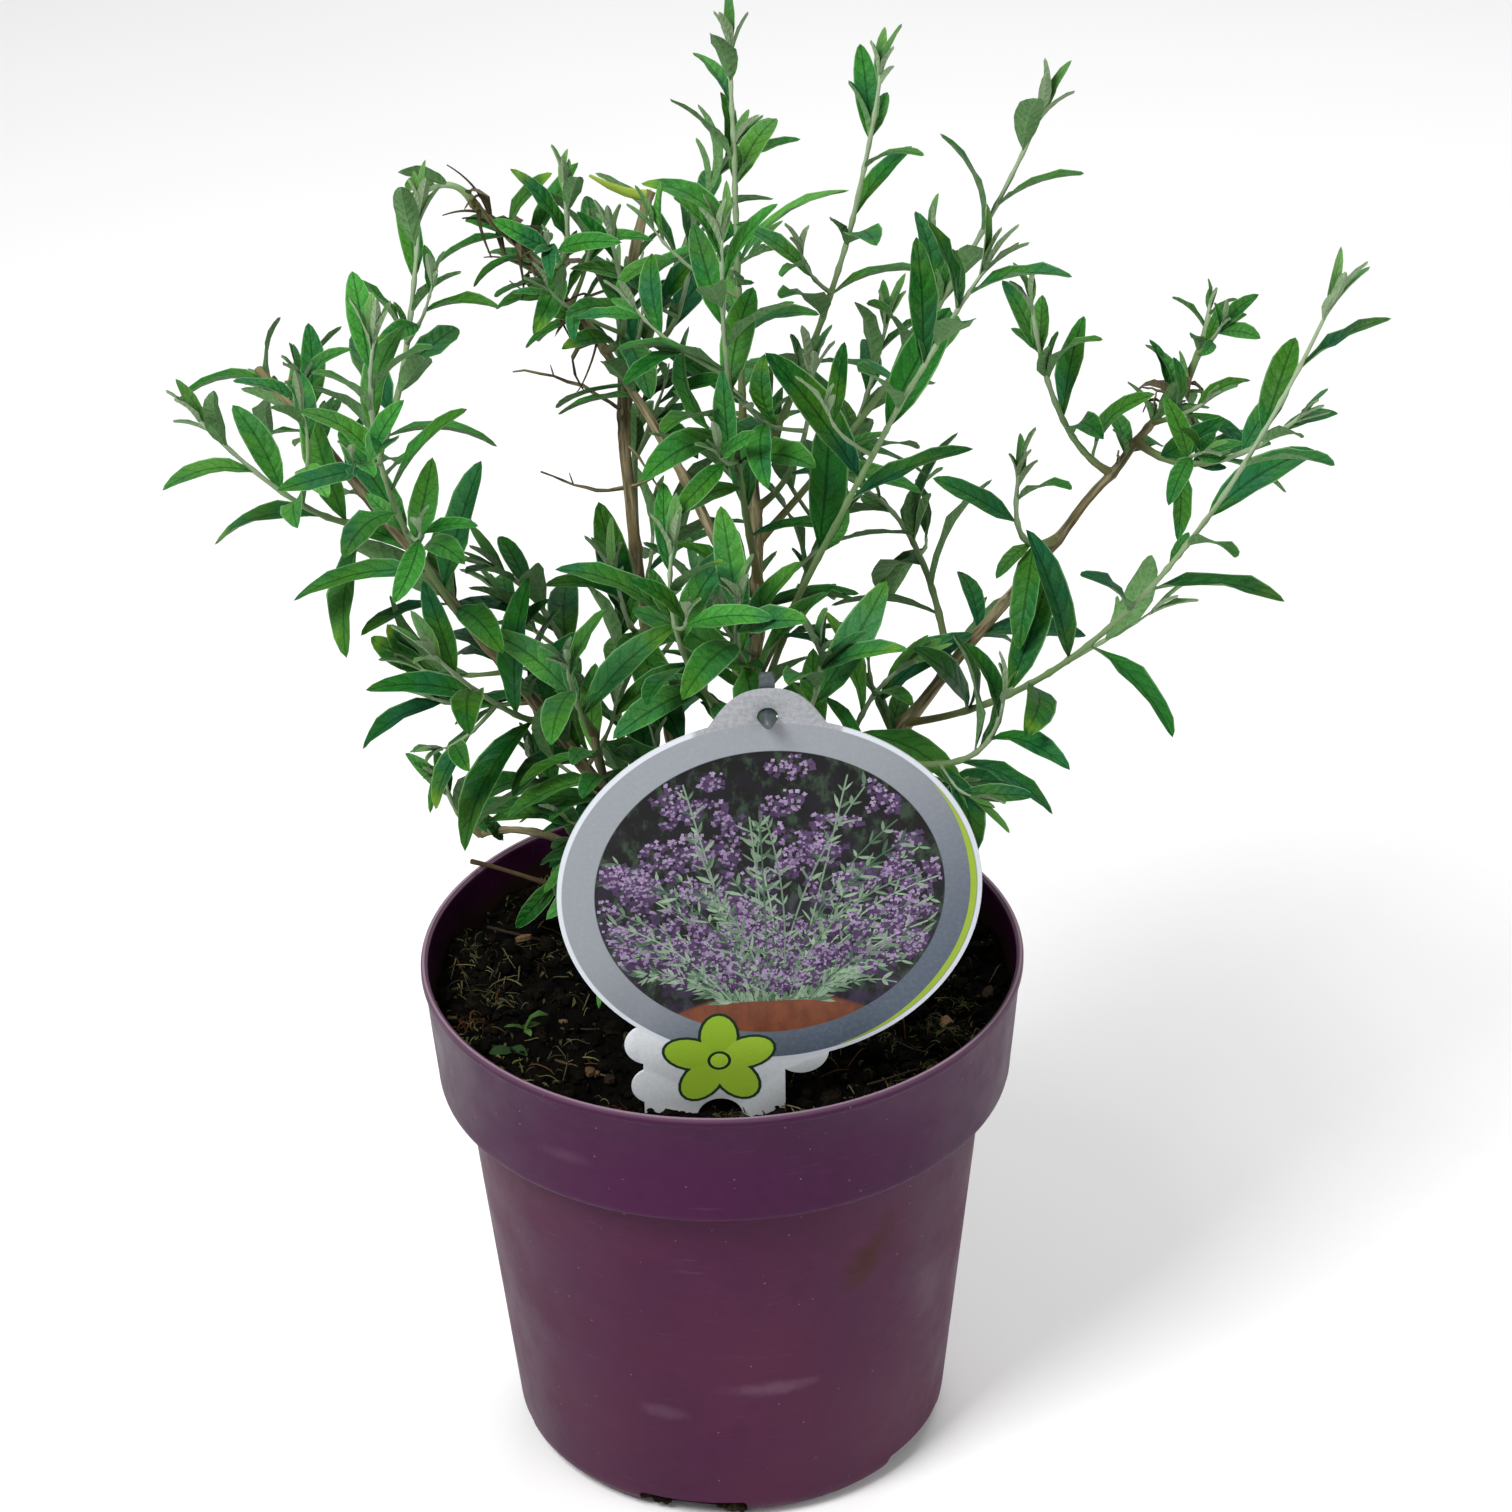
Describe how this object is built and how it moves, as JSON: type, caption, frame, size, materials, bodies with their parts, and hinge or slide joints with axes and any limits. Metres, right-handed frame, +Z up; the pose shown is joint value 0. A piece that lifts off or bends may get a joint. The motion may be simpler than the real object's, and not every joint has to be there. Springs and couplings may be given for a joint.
{
  "type": "potted fountain butterfly bush",
  "caption": "Young shrub with arching leafy shoots on woody boughs from a short stump, in a round collared pot of compost with a round plant label on a stake.",
  "frame": {"origin": "middle of the pot's flat underside, on the surface it stands on", "axes": "+Z up, -Y towards the side that the label faces, +X to the right seen from that side"},
  "size_m": [0.3401, 0.2333, 0.4742],
  "materials": {
    "pot_plastic": "matte plum injection-moulded plastic",
    "compost": "dark damp peat compost with straw fibres",
    "label_card": "semi-gloss printed plastic card",
    "stake_plastic": "dark slate moulded plastic",
    "bark": "thin grey-brown bark",
    "foliage": "soft matte green leaves, paler and felted below"
  },
  "bodies": {
    "root": {"pot": "pot_plastic", "compost": "compost", "label_plate": "label_card", "label_stake": "stake_plastic", "stump": "bark", "bough_back": "bark", "bough_centre": "bark", "bough_front": "bark", "bough_front_left": "bark", "bough_front_right": "bark", "bough_high_left": "bark", "bough_left": "bark", "bough_low_left": "bark", "bough_right": "bark", "foliage_back_high": "foliage", "foliage_big_arch": "foliage", "foliage_centre_front": "foliage", "foliage_centre_left": "foliage", "foliage_centre_right": "foliage", "foliage_centre_tall": "foliage", "foliage_far_left": "foliage", "foliage_front_left": "foliage", "foliage_front_star": "foliage", "foliage_front_top": "foliage", "foliage_head_left": "foliage", "foliage_head_mid": "foliage", "foliage_head_tip": "foliage", "foliage_high_left": "foliage", "foliage_left_front": "foliage", "foliage_left_low": "foliage", "foliage_left_tip": "foliage", "foliage_low_left": "foliage", "foliage_mid_left": "foliage", "foliage_rear": "foliage", "foliage_rear_left": "foliage", "foliage_rear_low_left": "foliage", "foliage_rear_low_right": "foliage", "foliage_rear_right": "foliage", "foliage_right_a": "foliage", "foliage_right_b": "foliage", "foliage_right_head": "foliage", "foliage_right_inner": "foliage", "foliage_right_low": "foliage", "foliage_right_mid": "foliage", "foliage_rim_left": "foliage", "foliage_top": "foliage", "foliage_upper_right_a": "foliage", "foliage_upper_right_b": "foliage", "foliage_upper_right_c": "foliage"}
  },
  "joints": []
}
